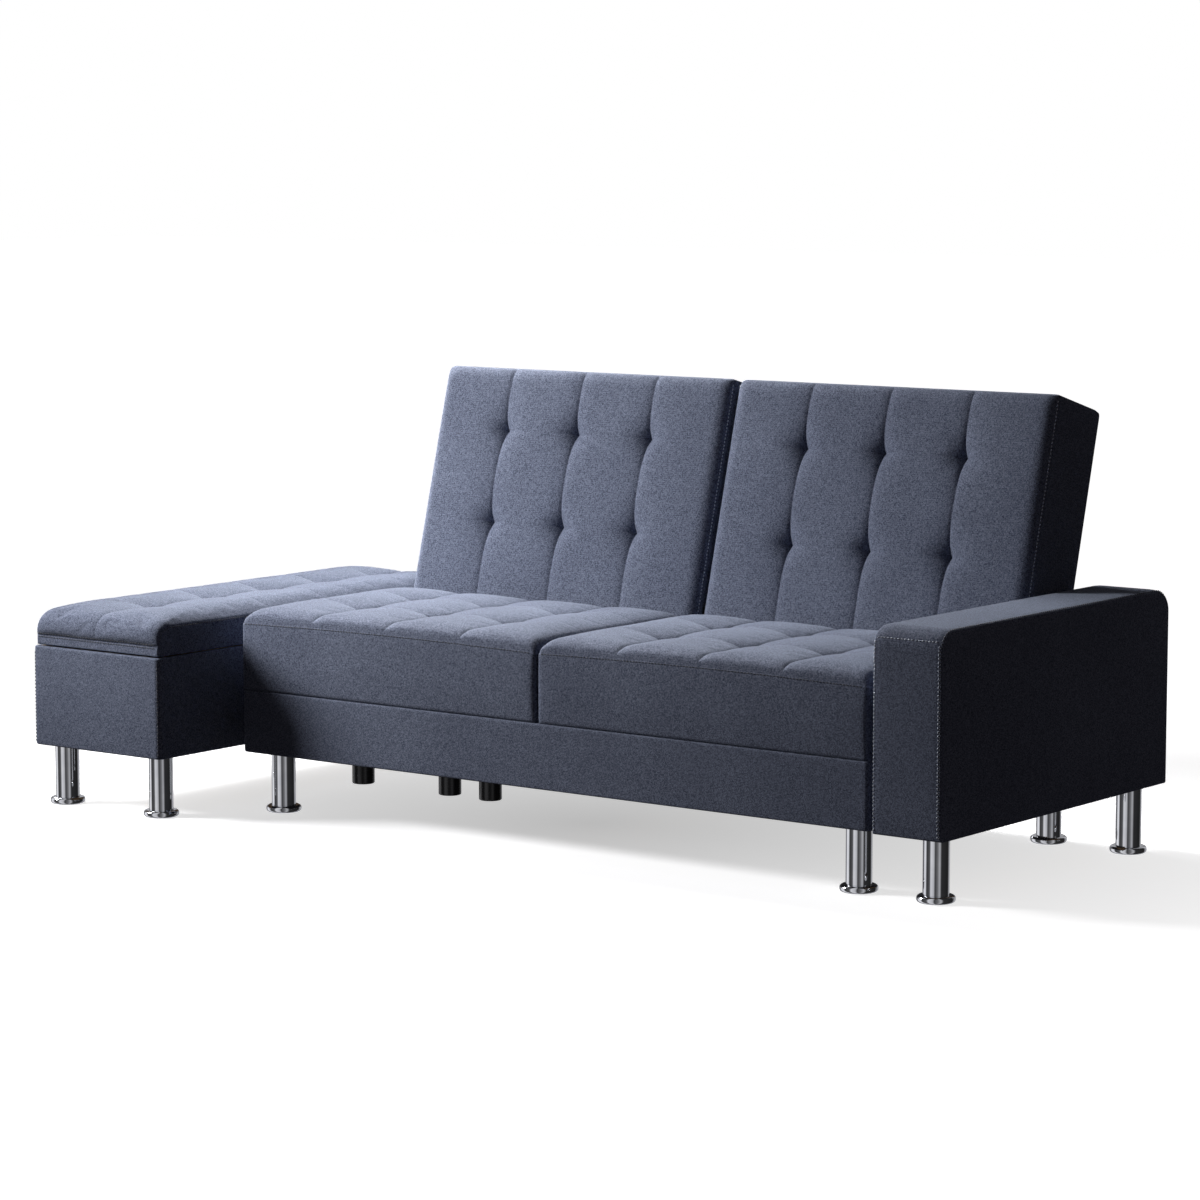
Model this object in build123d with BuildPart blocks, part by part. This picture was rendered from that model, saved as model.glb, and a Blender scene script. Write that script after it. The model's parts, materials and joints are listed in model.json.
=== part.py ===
"""Click-clack futon sofa bed with one arm and a storage bench, in millimetres, +Z up.

The origin is on the floor, at the middle of the footprint. The sofa faces -Y.
Plan positions are given from the front left corner of the sofa's base.
"""

from build123d import *
from math import cos, radians, sin
import os

os.makedirs("parts", exist_ok=True)

# ---------------------------------------------------------------- driving dimensions

# Legs: one chromed tube size carries every piece.
leg_height = 127.0
leg_radius = 25.0
leg_wall = 1.5
foot_radius = 36.5
foot_height = 14.0
foot_rounding = 6.0
stud_radius = 4.0
stud_length = 40.0
bench_stud_length = 14.0
stud_clearance = 0.2
support_leg_radius = 24.0
support_leg_lift = 17.0

# Sofa base, a box of rails behind a band of fabric.
base_length = 1548.0
base_depth = 780.0
rail_top = 256.0
rear_rail_top = 215.0
fabric = 3.0
rail_thickness = 18.0
corner_radius = 12.0

# Seats, two equal pads on plywood decks.
seat_length = 770.0
seat_depth = 513.0
seat_gap = 4.0
seat_top = 420.0
deck_thickness = 12.0
deck_inset = 15.0

# Backs, two equal boxes of foam that turn on an axis behind the seats.
back_width = 761.0
back_ends = (4.0, 779.0)
back_height = 606.0
back_thickness = 176.0
back_lean = 15.0
hinge_behind_seat = 75.0
hinge_height = 360.0
face_ahead_of_hinge = 60.0
back_below_hinge = 65.0
back_edge_rounding = 10.0

# Arm, on the right of the base.
arm_left = 1566.0
arm_width = 150.0
arm_front = -17.0
arm_depth = 829.0
arm_top = 514.0

# Storage bench, on the left of the base.
bench_left = -418.0
bench_front = -188.0
bench_width = 362.0
bench_depth = 1021.0
bench_body_top = 335.0
lid_bottom = 338.0
lid_top = 416.0

# Legs in plan: left to right, front to back.
sofa_leg_places = {"front_left": (59, 61), "front_right": (1487, 61),
                   "rear_left": (59, 710), "rear_right": (1510, 710)}
arm_leg_places = {"front": (1656, 61), "rear": (1690, 710)}
bench_leg_places = {"front_left": (-371, -137), "front_right": (-102, -137),
                    "rear_left": (-371, 775), "rear_right": (-102, 775)}
support_leg_places = {"left": (30, 349), "middle": (269, 349), "right": (378, 349)}

# ---------------------------------------------------------------- derived dimensions

hinge_y = seat_depth + hinge_behind_seat
back_above_hinge = back_height - back_below_hinge
back_behind_hinge = back_thickness - face_ahead_of_hinge
lean_sin = sin(radians(back_lean))
lean_cos = cos(radians(back_lean))
rearmost = (hinge_y + back_edge_rounding + lean_sin * (back_above_hinge - back_edge_rounding)
            + lean_cos * (back_behind_hinge - back_edge_rounding))
rightmost = arm_leg_places["rear"][0] + foot_radius
base_left = -(bench_left + rightmost) / 2
base_front = -(bench_front + rearmost) / 2
seat_lefts = (0.0, seat_length + seat_gap)
sides = ("left", "right")
low_corner = (Align.MIN, Align.MIN, Align.MIN)
standing = (Align.CENTER, Align.CENTER, Align.MIN)
arm_right = arm_left + arm_width
bench_right = bench_left + bench_width
bench_rear = bench_front + bench_depth


def place(x, y, z=0.0):
    """Level plane over the point x, y of the base's plan, at height z."""
    return Plane((base_left + x, base_front + y, z))


def back_place(x):
    """Plane of a back: X along the sofa, Y up the lean and Z out of the face, from the hinge."""
    origin = (base_left + x, base_front + hinge_y, hinge_height)
    return Plane(origin, x_dir=(1, 0, 0), z_dir=(0, -lean_cos, lean_sin))


def end_place(x, lean=0.0):
    """Upright plane across the sofa at the hinge: X to the rear, Y up, both turned by the lean."""
    origin = (base_left + x, base_front + hinge_y, hinge_height)
    x_dir = (0, cos(radians(lean)), -sin(radians(lean)))
    return Plane(origin, x_dir=x_dir, z_dir=(1, 0, 0))


def save(part, name):
    """Label a finished piece and write it."""
    part.label = name
    export_step(part, f"parts/{name}.step")


def board(name, corner, size):
    """Plain board, from its low front left corner."""
    with BuildPart(place(*corner)) as piece:
        Box(*size, align=low_corner)
    save(piece.part, name)


# ---------------------------------------------------------------- legs

def leg(name, spot, stud):
    """Chromed tube, closed at the top, with the stud that screws up into the frame."""
    with BuildPart(place(*spot, foot_height)) as piece:
        Cylinder(leg_radius, leg_height - foot_height, align=standing)
        with Locations((0, 0, -leg_wall)):
            Cylinder(leg_radius - leg_wall, leg_height - foot_height, align=standing,
                     mode=Mode.SUBTRACT)
        with Locations((0, 0, leg_height - foot_height)):
            Cylinder(stud_radius, stud, align=standing)
    save(piece.part, name)


def feet(name, spots):
    """Round flanged feet of a set of legs."""
    with BuildPart() as piece:
        for spot in spots:
            with BuildSketch(Plane(place(*spot).origin, x_dir=(1, 0, 0), z_dir=(0, -1, 0))):
                with BuildLine():
                    FilletPolyline((0, 0), (foot_radius, 0), (foot_radius, foot_height),
                                   (0, foot_height), radius=foot_rounding)
                    Line((0, foot_height), (0, 0))
                make_face()
            revolve(axis=Axis(place(*spot).origin, (0, 0, 1)))
    save(piece.part, name)


def legs():
    """Chromed legs and feet of the sofa, the arm and the bench, and the black supports."""
    for name, spot in sofa_leg_places.items():
        leg(f"sofa_leg_{name}", spot, stud_length)
    for name, spot in arm_leg_places.items():
        leg(f"arm_leg_{name}", spot, stud_length)
    for name, spot in bench_leg_places.items():
        leg(f"bench_leg_{name}", spot, bench_stud_length)
    feet("sofa_feet", list(sofa_leg_places.values()) + list(arm_leg_places.values()))
    feet("bench_feet", bench_leg_places.values())
    with BuildPart(place(0, 0, support_leg_lift)) as piece:
        with Locations(*support_leg_places.values()):
            Cylinder(support_leg_radius, leg_height - support_leg_lift, align=standing)
        fillet(piece.faces().sort_by(Axis.Z)[:3].edges(), radius=foot_rounding / 2)
    save(piece.part, "support_legs")


# ---------------------------------------------------------------- base

inside = fabric + rail_thickness
seat_support_end = seat_depth - 8.0
beam_left = back_ends[0] + back_width - 20.0
beam_right = back_ends[1] + 20.0
block_side = 80.0
block_height = 60.0
dust_cover_thickness = 2.0
cross_beam_front = 310.0


def wrapped_outline(length, depth, radius):
    """Rectangle with round corners, from its low corner."""
    with Locations((length / 2, depth / 2)):
        RectangleRounded(length, depth, radius)


def base_cover():
    """Band of fabric around the rails, low at the rear where the backs swing."""
    with BuildPart() as piece:
        with BuildSketch(place(0, 0, leg_height)):
            wrapped_outline(base_length, base_depth, corner_radius)
        extrude(amount=rail_top - leg_height)
        with BuildSketch(place(fabric, fabric, leg_height)):
            wrapped_outline(base_length - 2 * fabric, base_depth - 2 * fabric,
                            corner_radius - fabric)
        extrude(amount=rail_top - leg_height, mode=Mode.SUBTRACT)
        with BuildSketch(place(0, seat_support_end, rear_rail_top)):
            Rectangle(base_length, base_depth, align=(Align.MIN, Align.MIN))
        extrude(amount=rail_top - rear_rail_top, mode=Mode.SUBTRACT)
    save(piece.part, "base_cover")


def long_rail(name, y, outer, top):
    """Rail across the base, with its outer corners rounded."""
    with BuildPart(place(fabric, y, leg_height)) as piece:
        Box(base_length - 2 * fabric, rail_thickness, top - leg_height, align=low_corner)
        fillet(piece.edges().filter_by(Axis.Z).group_by(Axis.Y)[outer], corner_radius - fabric)
    save(piece.part, name)


def side_rail(name, x, width):
    """Rail from front to rear, tall under the seats and low where the backs swing."""
    depth = base_depth - 2 * inside
    low_start = seat_support_end - inside
    with BuildPart(place(x, inside, leg_height)) as piece:
        Box(width, depth, rear_rail_top - leg_height, align=low_corner)
        Box(width, low_start, rail_top - leg_height, align=low_corner)
    save(piece.part, name)


def corner_blocks():
    """Wooden blocks inside the base that hold the studs of the legs."""
    with BuildPart(place(0, 0, leg_height + dust_cover_thickness)) as piece:
        for x in (inside, base_length - inside - block_side):
            for y in (inside, base_depth - inside - block_side):
                with Locations((x, y)):
                    Box(block_side, block_side, block_height, align=low_corner)
        with Locations(*sofa_leg_places.values()):
            Cylinder(stud_radius + stud_clearance, stud_length, align=standing,
                     mode=Mode.SUBTRACT)
    save(piece.part, "corner_blocks")


def dust_cover():
    """Sheet that closes the underside, pierced where the legs screw in."""
    with BuildPart(place(0, 0, leg_height)) as piece:
        with Locations((inside, inside)):
            Box(base_length - 2 * inside, base_depth - 2 * inside, dust_cover_thickness,
                align=low_corner)
        with Locations((beam_left, inside)):
            Box(beam_right - beam_left, base_depth, dust_cover_thickness, align=low_corner,
                mode=Mode.SUBTRACT)
        with Locations(*sofa_leg_places.values()):
            Cylinder(stud_radius + stud_clearance, dust_cover_thickness, align=standing,
                     mode=Mode.SUBTRACT)
    save(piece.part, "dust_cover")


def cross_beams():
    """Beams between the centre beam and the side rails, above the black legs."""
    with BuildPart(place(0, cross_beam_front, leg_height + dust_cover_thickness)) as piece:
        for left, right in ((inside, beam_left), (beam_right, base_length - inside)):
            with Locations((left, 0)):
                Box(right - left, block_side, block_height, align=low_corner)
    save(piece.part, "cross_beams")


def base():
    """Rails, beams and covers of the sofa's base."""
    base_cover()
    long_rail("front_rail", fabric, 0, rail_top)
    long_rail("rear_rail", base_depth - inside, -1, rear_rail_top)
    side_rail("left_rail", fabric, rail_thickness)
    side_rail("centre_beam", beam_left, beam_right - beam_left)
    side_rail("right_rail", base_length - inside, rail_thickness)
    corner_blocks()
    dust_cover()
    cross_beams()


# ---------------------------------------------------------------- pads

pad_rounding = 20.0
pad_corner = 10.0


def pad(name, corner, size, inset, recess):
    """Foam pad in its fabric: round top edges, and a recess below for its deck."""
    length, depth, height = size
    with BuildPart(place(*corner)) as piece:
        Box(length, depth, height, align=low_corner)
        fillet(piece.edges().filter_by(Axis.Z), radius=pad_corner)
        fillet(piece.faces().sort_by(Axis.Z)[-1].edges(), radius=pad_rounding)
        with Locations((inset, inset)):
            Box(length - 2 * inset, depth - 2 * inset, recess, align=low_corner,
                mode=Mode.SUBTRACT)
    save(piece.part, name)


def seats():
    """Two seat pads, side by side, and their plywood decks."""
    for side, left in zip(sides, seat_lefts):
        size = (seat_length, seat_depth, seat_top - rail_top)
        pad(f"seat_cushion_{side}", (left, 0, rail_top), size, deck_inset, deck_thickness)
        corner = (left + deck_inset, deck_inset, rail_top)
        board(f"seat_deck_{side}", corner, (seat_length - 2 * deck_inset,
                                            seat_depth - 2 * deck_inset, deck_thickness))


# ---------------------------------------------------------------- backs

notch_depth = 20.0
notch_behind_face = 28.0
notch_above_hinge = 70.0
lower_front_rounding = 36.0
foam_behind_hinge = 4.0
frame_width = 40.0
rear_panel_thickness = 4.0
middle_rail_depth = 48.0
middle_rail_recess = 8.0
spring_count = 5
spring_wire = 1.8
spring_swing = 22.0
spring_pitch = 62.0

hinge_plate = 4.0
hinge_play = 0.5
arm_plate_out = notch_depth - hinge_plate
bracket_out = arm_plate_out - hinge_play - hinge_plate
pin_radius = 6.0
pin_clearance = 0.05
pin_head_radius = 10.0
pin_head = 3.0
bracket_half = 18.0
bracket_end = 22.0
bracket_foot_half = 40.0
hinge_bolt_radius = 4.0
hinge_bolt_head = 6.5
hinge_bolt_head_height = 3.0
hinge_bolt_spots = ((16.0, 32.0), (16.0, 52.0))
bracket_screw_spots = ((0.0, 29.0), (0.0, -29.0))
hinge_bolt_length = 18.0
hinge_arm_low = (-16.0, -22.0)
hinge_arm_high = (31.0, 66.0)


def back_end_faces(*lefts):
    """End faces of the backs that start at lefts, each with its inward direction."""
    return [pair for x in lefts for pair in ((x, 1), (x + back_width, -1))]


def back_box(low, high, mode=Mode.ADD):
    """Box between two corners given on a back's plane."""
    with Locations(low):
        Box(*(Vector(*high) - Vector(*low)), align=low_corner, mode=mode)


def cut_notches(depth):
    """Corners cut away at both ends of a back, where the fixed plates swing past."""
    front = face_ahead_of_hinge - notch_behind_face
    for start in (0, back_width - depth):
        back_box((start, -back_below_hinge, -back_behind_hinge),
                 (start + depth, notch_above_hinge, front), Mode.SUBTRACT)


def back_cushion(name, x):
    """Foam slab of a back, in its fabric."""
    with BuildPart(back_place(x)) as piece:
        back_box((0, -back_below_hinge, -foam_behind_hinge),
                 (back_width, back_above_hinge, face_ahead_of_hinge))
        front = piece.faces().sort_by(Axis(back_place(x).origin, back_place(x).z_dir))[-1]
        across = front.edges().filter_by(Axis.X).sort_by(Axis.Z)
        fillet(across[0], radius=lower_front_rounding)
        front = piece.faces().filter_by(GeomType.PLANE).sort_by(
            Axis(back_place(x).origin, back_place(x).z_dir))[-1]
        fillet(front.edges().filter_by(Axis.X).sort_by(Axis.Z)[-1], radius=back_edge_rounding)
        cut_notches(notch_depth)
    save(piece.part, name)


def back_frame(name, x):
    """Wooden stiles, the notched ends of a back that its hinges bolt to, and its rails."""
    low = fabric - back_below_hinge
    high = back_above_hinge - back_edge_rounding
    rear = rear_panel_thickness - back_behind_hinge
    with BuildPart(back_place(x)) as stiles:
        for start in (fabric, back_width - fabric - frame_width):
            back_box((start, low, rear), (start + frame_width, high, -foam_behind_hinge))
        cut_notches(notch_depth)
        for end, inward in back_end_faces(x):
            with BuildSketch(end_place(end + inward * notch_depth, back_lean)):
                with Locations(*hinge_bolt_spots):
                    Circle(hinge_bolt_radius + stud_clearance)
            extrude(amount=inward * hinge_bolt_length, mode=Mode.SUBTRACT)
    save(stiles.part, f"back_stiles_{name}")
    left = fabric + frame_width
    right = back_width - left
    middle = (low + high - frame_width) / 2
    recess = foam_behind_hinge + middle_rail_recess
    with BuildPart(back_place(x)) as rails:
        for rise in (low, high - frame_width):
            back_box((left, rise, rear), (right, rise + frame_width, -foam_behind_hinge))
        back_box((left, middle, -recess - middle_rail_depth),
                 (right, middle + frame_width, -recess))
    save(rails.part, f"back_rails_{name}")


def back_springs(name, x):
    """Zigzag springs from stile to stile, behind the foam."""
    left = fabric + frame_width
    length = back_width - 2 * left
    low = left - back_below_hinge
    pitch = (back_above_hinge - back_edge_rounding - frame_width - low) / spring_count
    turns = int(length / spring_pitch)
    step = length / turns
    plane = back_place(x).offset(-foam_behind_hinge - spring_wire)
    with BuildPart() as piece:
        for row in range(spring_count):
            middle = low + (row + 0.5) * pitch
            points = [(left, middle)]
            for turn in range(turns):
                swing = spring_swing if turn % 2 else -spring_swing
                points.append((left + (turn + 0.25) * step, middle + swing))
                points.append((left + (turn + 0.75) * step, middle + swing))
            points.append((left + length, middle))
            with BuildLine(plane):
                path = FilletPolyline(*points, radius=step / 6)
            with BuildSketch(Plane(path @ 0, z_dir=path % 0)):
                Circle(spring_wire)
            sweep(path=path)
        for start, side in ((0, -1), (back_width, 1)):
            with BuildSketch(end_place(x + start - side * left, back_lean)):
                Rectangle(2 * back_thickness, 2 * back_height)
            extrude(amount=side * frame_width, mode=Mode.SUBTRACT)
    save(piece.part, name)


def rear_panel(name, x):
    """Thin panel in its fabric that closes a back at the rear."""
    low = fabric - back_below_hinge
    high = back_above_hinge - back_edge_rounding
    with BuildPart(back_place(x)) as piece:
        back_box((fabric, low, -back_behind_hinge),
                 (back_width - fabric, high, rear_panel_thickness - back_behind_hinge))
        cut_notches(notch_depth)
    save(piece.part, name)


def hinge_brackets():
    """Fixed steel plates of the four hinges, with their feet on the rails."""
    drop = hinge_height - rear_rail_top
    with BuildPart() as piece:
        for end, inward in back_end_faces(*back_ends):
            with BuildSketch(end_place(end + inward * bracket_out)):
                Circle(bracket_end)
                with Locations((0, -drop)):
                    Rectangle(2 * bracket_half, drop, align=(Align.CENTER, Align.MIN))
                Circle(pin_radius + pin_clearance, mode=Mode.SUBTRACT)
            extrude(amount=inward * hinge_plate)
            with BuildSketch(place(end + inward * notch_depth / 2, hinge_y, rear_rail_top)):
                Rectangle(notch_depth - 1, 2 * bracket_foot_half)
                with Locations(*bracket_screw_spots):
                    Circle(hinge_bolt_radius, mode=Mode.SUBTRACT)
            extrude(amount=hinge_plate)
    save(piece.part, "hinge_brackets")


def bracket_screws():
    """Screws that hold the feet of the fixed plates to the rails."""
    with BuildPart() as piece:
        for end, inward in back_end_faces(*back_ends):
            spot = place(end + inward * notch_depth / 2, hinge_y, rear_rail_top)
            with BuildSketch(spot):
                with Locations(*bracket_screw_spots):
                    Circle(hinge_bolt_radius)
            extrude(amount=hinge_plate)
            with BuildSketch(spot.offset(hinge_plate)):
                with Locations(*bracket_screw_spots):
                    Circle(hinge_bolt_head)
            extrude(amount=hinge_bolt_head_height)
    save(piece.part, "bracket_screws")


def hinge_arms(name, x):
    """Moving steel plates at both ends of a back, bolted to its frame."""
    low, high = Vector(*hinge_arm_low), Vector(*hinge_arm_high)
    middle = (low + high) / 2
    with BuildPart() as piece:
        for end, inward in back_end_faces(x):
            with BuildSketch(end_place(end + inward * arm_plate_out, back_lean)):
                with Locations((middle.X, middle.Y)):
                    RectangleRounded(high.X - low.X, high.Y - low.Y, pad_corner)
                Circle(pin_radius, mode=Mode.SUBTRACT)
                with Locations(*hinge_bolt_spots):
                    Circle(hinge_bolt_radius, mode=Mode.SUBTRACT)
            extrude(amount=inward * hinge_plate)
    save(piece.part, name)


def hinge_pins(name, x):
    """Pivot pins at both ends of a back, headed outside the fixed plates."""
    head_out = bracket_out - hinge_play - pin_head
    with BuildPart() as piece:
        for end, inward in back_end_faces(x):
            with BuildSketch(end_place(end + inward * head_out)):
                Circle(pin_head_radius)
            extrude(amount=inward * pin_head)
            with BuildSketch(end_place(end + inward * (head_out + pin_head))):
                Circle(pin_radius)
            extrude(amount=inward * (notch_depth - head_out - pin_head))
    save(piece.part, name)


def hinge_bolts(name, x):
    """Bolts through the moving plates into the ends of the frame."""
    head_out = arm_plate_out - hinge_bolt_head_height
    with BuildPart() as piece:
        for end, inward in back_end_faces(x):
            with BuildSketch(end_place(end + inward * head_out, back_lean)):
                with Locations(*hinge_bolt_spots):
                    Circle(hinge_bolt_head)
            extrude(amount=inward * hinge_bolt_head_height)
            with BuildSketch(end_place(end + inward * arm_plate_out, back_lean)):
                with Locations(*hinge_bolt_spots):
                    Circle(hinge_bolt_radius)
            extrude(amount=inward * (hinge_plate + hinge_bolt_length))
    save(piece.part, name)


def backs():
    """Two reclining backs and their four hinges."""
    for side, x in zip(sides, back_ends):
        back_cushion(f"back_cushion_{side}", x)
        back_frame(side, x)
        back_springs(f"back_springs_{side}", x)
        rear_panel(f"back_panel_{side}", x)
        hinge_arms(f"hinge_arms_{side}", x)
        hinge_pins(f"hinge_pins_{side}", x)
        hinge_bolts(f"hinge_bolts_{side}", x)
    hinge_brackets()
    bracket_screws()


# ---------------------------------------------------------------- arm

arm_front_rounding = 45.0
arm_rear_rounding = 50.0
arm_edge = 8.0
arm_foam = 16.0
arm_board = 15.0
arm_base_board = 48.0
spacer_radius = 15.0
arm_bolt_places = ((120.0, 235.0), (120.0, 150.0), (440.0, 190.0), (640.0, 190.0))


def arm_cover():
    """Foam and fabric around the arm, open below for its wooden frame."""
    with BuildPart(place(arm_left, arm_front, leg_height)) as piece:
        height = arm_top - leg_height
        Box(arm_width, arm_depth, height, align=low_corner)
        across = piece.faces().sort_by(Axis.Z)[-1].edges().filter_by(Axis.X).sort_by(Axis.Y)
        fillet(across[0], radius=arm_front_rounding)
        fillet(piece.faces().sort_by(Axis.Z)[-1].edges().filter_by(Axis.X).sort_by(Axis.Y)[-1],
               radius=arm_rear_rounding)
        side_faces = piece.faces().sort_by(Axis.X)
        fillet((side_faces[0].edges() + side_faces[-1].edges()).filter_by(
            lambda edge: edge.center().Z > leg_height + 1), radius=arm_edge)
        with Locations((arm_foam, arm_foam)):
            Box(arm_width - 2 * arm_foam, arm_depth - 2 * arm_foam, height - arm_foam,
                align=low_corner, mode=Mode.SUBTRACT)
    save(piece.part, "arm_cover")


def arm_base():
    """Thick board at the foot of the arm that takes the studs of its two legs."""
    with BuildPart(place(0, 0, leg_height)) as piece:
        with Locations((arm_left + arm_foam, arm_front + arm_foam)):
            Box(arm_width - 2 * arm_foam, arm_depth - 2 * arm_foam, arm_base_board,
                align=low_corner)
        with Locations(*arm_leg_places.values()):
            Cylinder(stud_radius + stud_clearance, stud_length, align=standing,
                     mode=Mode.SUBTRACT)
    save(piece.part, "arm_base_board")


def arm():
    """Arm box and the bolts that hold it beside the base."""
    arm_cover()
    arm_base()
    floor = leg_height + arm_base_board
    height = arm_top - arm_foam - floor
    left = arm_left + arm_foam
    front = arm_front + arm_foam
    width = arm_width - 2 * arm_foam
    depth = arm_depth - 2 * arm_foam
    with BuildPart(place(left, front, floor)) as piece:
        for x in (0, width - arm_board):
            with Locations((x, 0)):
                Box(arm_board, depth, height, align=low_corner)
    save(piece.part, "arm_side_boards")
    inner_width = width - 2 * arm_board
    with BuildPart(place(left + arm_board, front, floor)) as piece:
        for y in (0, depth - arm_board):
            with Locations((0, y)):
                Box(inner_width, arm_board, height, align=low_corner)
        with Locations((0, arm_board, height - arm_board)):
            Box(inner_width, depth - 2 * arm_board, arm_board, align=low_corner)
    save(piece.part, "arm_cross_boards")
    with BuildPart() as piece:
        for y, z in arm_bolt_places:
            spot = (base_left + base_length, base_front + y, z)
            with BuildSketch(Plane(spot, x_dir=(0, 1, 0), z_dir=(1, 0, 0))):
                Circle(spacer_radius)
            extrude(amount=arm_left - base_length)
    save(piece.part, "arm_spacers")


# ---------------------------------------------------------------- bench

wall = 15.0
bench_floor = 18.0
bench_corner = 14.0
lid_inset_side = 6.0
lid_inset_left = 10.0
lid_inset_front = 4.0
lid_board_inset = 12.0
knuckle_radius = 2.5
knuckle_in = 6.0
knuckle_height = 336.5
groove_start = 3.0
groove_width = 6.0
groove_depth = 1.5
leaf_length = 70.0
leaf_reach = 15.0
leaf = 1.0
leaf_pin_radius = 1.0
barrels = 5
barrel_gap = 0.4
hinge_spots = (-60.0, 322.0, 705.0)


def bench_cover():
    """Band of fabric around the walls of the bench."""
    height = bench_body_top - leg_height
    with BuildPart() as piece:
        with BuildSketch(place(bench_left, bench_front, leg_height)):
            wrapped_outline(bench_width, bench_depth, bench_corner)
        extrude(amount=height)
        with BuildSketch(place(bench_left + fabric, bench_front + fabric, leg_height)):
            wrapped_outline(bench_width - 2 * fabric, bench_depth - 2 * fabric,
                            bench_corner - fabric)
        extrude(amount=height, mode=Mode.SUBTRACT)
    save(piece.part, "bench_cover")


def bench_end_walls():
    """Front and rear walls, with their outer corners rounded."""
    rear_y = bench_depth - 2 * fabric - wall
    with BuildPart(place(bench_left + fabric, bench_front + fabric, leg_height)) as piece:
        for y in (0, rear_y):
            with Locations((0, y)):
                Box(bench_width - 2 * fabric, wall, bench_body_top - leg_height,
                    align=low_corner)
        upright = piece.edges().filter_by(Axis.Z).group_by(Axis.Y)
        fillet(upright[0] + upright[-1], bench_corner - fabric)
    save(piece.part, "bench_end_walls")


def bench_left_wall():
    """Left wall, grooved along the top for the knuckles of the lid's hinges."""
    height = bench_body_top - leg_height
    front = bench_front + fabric + wall
    depth = bench_depth - 2 * (fabric + wall)
    with BuildPart(place(bench_left + fabric, front, leg_height)) as piece:
        Box(wall, depth, height, align=low_corner)
        with Locations((groove_start - fabric, 0, height - groove_depth)):
            Box(groove_width, depth, groove_depth, align=low_corner, mode=Mode.SUBTRACT)
    save(piece.part, "bench_left_wall")


def bench_body():
    """Walls, floor and cover of the storage box."""
    bench_cover()
    bench_end_walls()
    bench_left_wall()
    height = bench_body_top - leg_height
    front = bench_front + fabric + wall
    depth = bench_depth - 2 * (fabric + wall)
    board("bench_right_wall", (bench_right - fabric - wall, front, leg_height),
          (wall, depth, height))
    left = bench_left + fabric + wall
    with BuildPart(place(0, 0, leg_height)) as piece:
        with Locations((left, front)):
            Box(bench_width - 2 * (fabric + wall), depth, bench_floor, align=low_corner)
        with Locations(*bench_leg_places.values()):
            Cylinder(stud_radius + stud_clearance, bench_stud_length, align=standing,
                     mode=Mode.SUBTRACT)
    save(piece.part, "bench_floor")


def across_hinge(start):
    """Upright plane across the lid hinges' axis, at start along it."""
    origin = place(bench_left + knuckle_in, start, knuckle_height).origin
    return Plane(origin, x_dir=(1, 0, 0), z_dir=(0, 1, 0))


def lid_hinge_leaves(name, leaf_height, parity, bore):
    """One half of the three lid hinges: flat leaves and every other barrel."""
    barrel = leaf_length / barrels
    with BuildPart(place(bench_left + knuckle_in, 0, leaf_height)) as piece:
        for middle in hinge_spots:
            start = middle - leaf_length / 2
            with Locations((knuckle_radius + barrel_gap, start)):
                Box(leaf_reach - knuckle_radius, leaf_length, leaf, align=low_corner)
            for step in range(parity, barrels, 2):
                begin = start + step * barrel + barrel_gap / 2
                with Locations((0, begin)):
                    Box(knuckle_radius + 2 * barrel_gap, barrel - barrel_gap, leaf,
                        align=low_corner)
                with BuildSketch(across_hinge(begin)):
                    Circle(knuckle_radius)
                extrude(amount=barrel - barrel_gap)
            with BuildSketch(across_hinge(start)):
                Circle(bore)
            extrude(amount=leaf_length, mode=Mode.SUBTRACT)
    save(piece.part, name)


def lid_hinges():
    """Three butt hinges between the left wall and the lid, with their pins."""
    fixed = bench_body_top
    lid_hinge_leaves("lid_hinge_fixed_leaves", fixed, 0, leaf_pin_radius + pin_clearance)
    lid_hinge_leaves("lid_hinge_lid_leaves", lid_bottom - leaf, 1, leaf_pin_radius)
    with BuildPart() as piece:
        for middle in hinge_spots:
            with BuildSketch(across_hinge(middle - leaf_length / 2)):
                Circle(leaf_pin_radius)
            extrude(amount=leaf_length)
    save(piece.part, "lid_hinge_pins")


def lid():
    """Padded lid, its plywood board and its hinges."""
    left = bench_left + lid_inset_left
    front = bench_front + lid_inset_front
    width = bench_width - lid_inset_left - lid_inset_side
    depth = bench_depth - 2 * lid_inset_front
    pad("lid_cushion", (left, front, lid_bottom), (width, depth, lid_top - lid_bottom),
        lid_board_inset, deck_thickness)
    board("lid_board", (left + lid_board_inset, front + lid_board_inset, lid_bottom),
          (width - 2 * lid_board_inset, depth - 2 * lid_board_inset, deck_thickness))


def bench():
    """Storage bench with a hinged padded lid."""
    bench_body()
    lid()
    lid_hinges()


legs()
base()
seats()
backs()
arm()
bench()
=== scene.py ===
import json
import math

import bpy
import numpy as np
from mathutils import Matrix, Vector
from mathutils.bvhtree import BVHTree


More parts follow.
